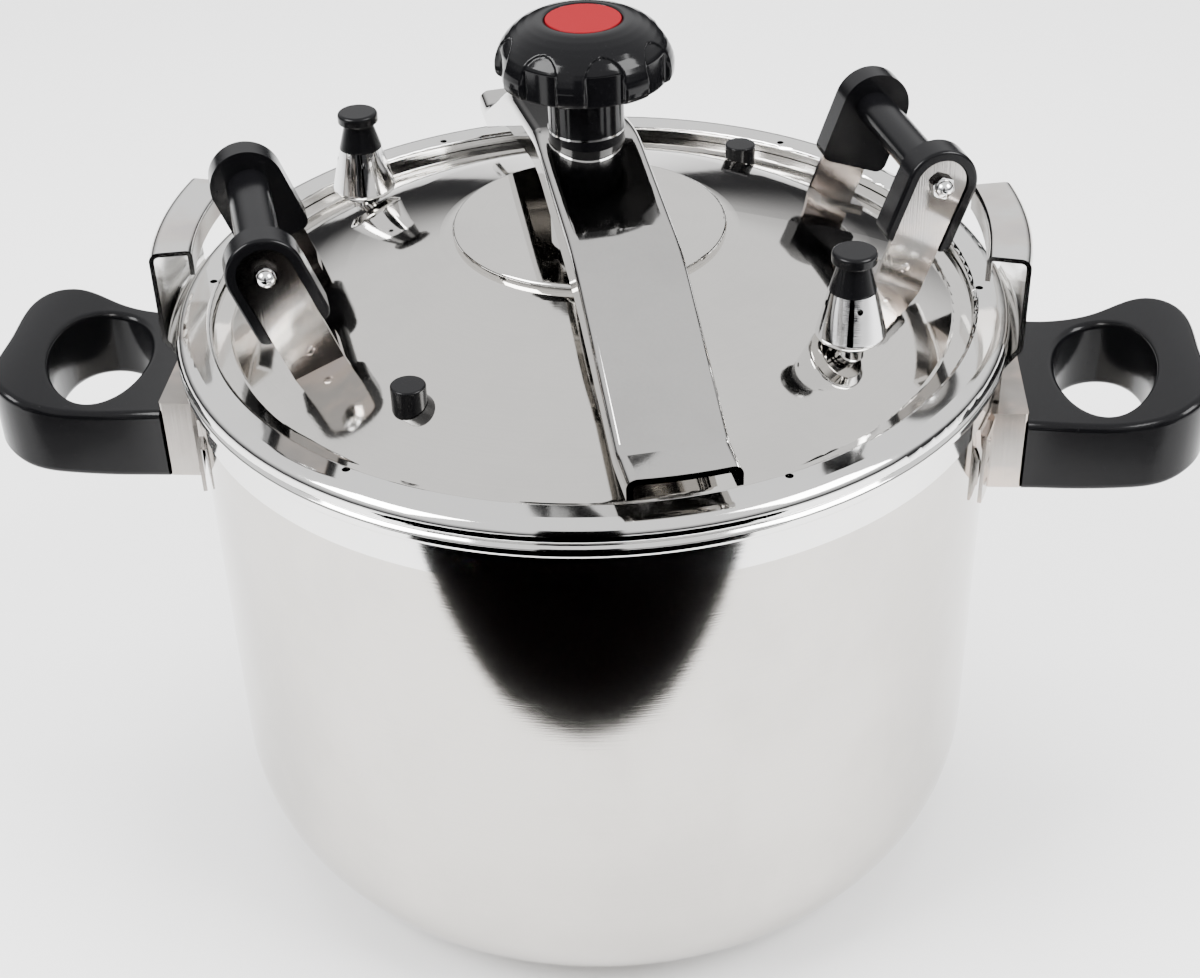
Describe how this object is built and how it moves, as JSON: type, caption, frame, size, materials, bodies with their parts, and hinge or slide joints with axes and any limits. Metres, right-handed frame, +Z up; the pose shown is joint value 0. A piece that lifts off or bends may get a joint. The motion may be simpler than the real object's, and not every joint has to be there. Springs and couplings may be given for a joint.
{
  "type": "stovetop pressure cooker",
  "caption": "Large steel stovetop pressure cooker whose domed lid is clamped by a cross beam, raised under two hooked ears by a central screw knob.",
  "frame": {"origin": "middle of the flat base, on the resting face", "axes": "+Z up along the axis of the pot; +X through the right ear and the right side handle; +Y away from the viewer, to the back"},
  "size_m": [0.607, 0.4116, 0.458],
  "materials": {
    "pot_steel": "satin stainless steel",
    "lid_steel": "mirror-polished stainless steel",
    "beam_steel": "mirror-polished stainless steel",
    "bracket_steel": "brushed, slightly heat-tinted",
    "fitting_steel": "polished turned steel",
    "bakelite": "glossy black phenolic moulding",
    "badge_red": "matte red",
    "seal_rubber": "off-white silicone"
  },
  "bodies": {
    "pot": {"pot_body": "pot_steel", "rim_ring": "lid_steel", "saddle_left": "bracket_steel", "saddle_right": "bracket_steel", "ear_left": "beam_steel", "ear_right": "beam_steel", "handle_bracket_left": "bracket_steel", "handle_bracket_right": "bracket_steel", "side_handle_left": "bakelite", "side_handle_right": "bakelite", "side_handle_bolts_left": "fitting_steel", "side_handle_bolts_right": "fitting_steel"},
    "gasket": {"gasket": "seal_rubber"},
    "lid": {"lid_shell": "lid_steel", "centre_disc": "lid_steel", "screw_seat": "fitting_steel", "seat_keeper": "fitting_steel", "grip_strip_a1": "bracket_steel", "grip_strip_a2": "bracket_steel", "grip_strip_b1": "bracket_steel", "grip_strip_b2": "bracket_steel", "grip_cap_a1": "bakelite", "grip_cap_a2": "bakelite", "grip_cap_b1": "bakelite", "grip_cap_b2": "bakelite", "grip_bar_a": "bakelite", "grip_bar_b": "bakelite", "grip_bolt_a": "fitting_steel", "grip_bolt_b": "fitting_steel", "valve_stem_a": "fitting_steel", "valve_stem_b": "fitting_steel", "valve_nut_a": "fitting_steel", "valve_nut_b": "fitting_steel", "plug_socket_a": "fitting_steel", "plug_socket_b": "fitting_steel", "plug_nut_a": "fitting_steel", "plug_nut_b": "fitting_steel"},
    "screw": {"screw": "fitting_steel", "knob_head": "bakelite", "knob_badge": "badge_red", "knob_nut": "fitting_steel"},
    "beam": {"beam": "beam_steel", "beam_nut": "beam_steel", "sleeve_base": "bakelite", "sleeve_ring": "fitting_steel", "sleeve": "bakelite"},
    "valve_a": {"valve_weight_a": "fitting_steel", "valve_cap_a": "bakelite"},
    "plug_a": {"safety_plug_a": "bakelite", "plug_keeper_a": "fitting_steel"},
    "valve_b": {"valve_weight_b": "fitting_steel", "valve_cap_b": "bakelite"},
    "plug_b": {"safety_plug_b": "bakelite", "plug_keeper_b": "fitting_steel"}
  },
  "joints": [
    {"name": "lid_lift", "type": "slide", "parent": "pot", "child": "gasket", "axis": [0, 0, 1], "range_m": [0, 0.2]},
    {"name": "lid_turn", "type": "hinge", "parent": "gasket", "child": "lid", "pos_m": [0, 0, 0.31], "axis": [0, 0, 1], "range_deg": [-105, 50]},
    {"name": "knob_turn", "type": "hinge", "parent": "lid", "child": "screw", "pos_m": [0, 0, 0.36], "axis": [0, 0, 1], "range_deg": [-384.1, 0]},
    {"name": "beam_raise", "type": "slide", "parent": "lid", "child": "beam", "axis": [0, 0, 1], "range_m": [0, 0.0032]},
    {"name": "valve_lift_a", "type": "slide", "parent": "lid", "child": "valve_a", "axis": [0, 0, 1], "range_m": [0, 0.012]},
    {"name": "plug_lift_a", "type": "slide", "parent": "lid", "child": "plug_a", "axis": [0, 0, 1], "range_m": [0, 0.004]},
    {"name": "valve_lift_b", "type": "slide", "parent": "lid", "child": "valve_b", "axis": [0, 0, 1], "range_m": [0, 0.012]},
    {"name": "plug_lift_b", "type": "slide", "parent": "lid", "child": "plug_b", "axis": [0, 0, 1], "range_m": [0, 0.004]}
  ],
  "couplings": [
    {"joint": "knob_turn", "follows": "beam_raise", "rad_per_m": -2094.4}
  ]
}
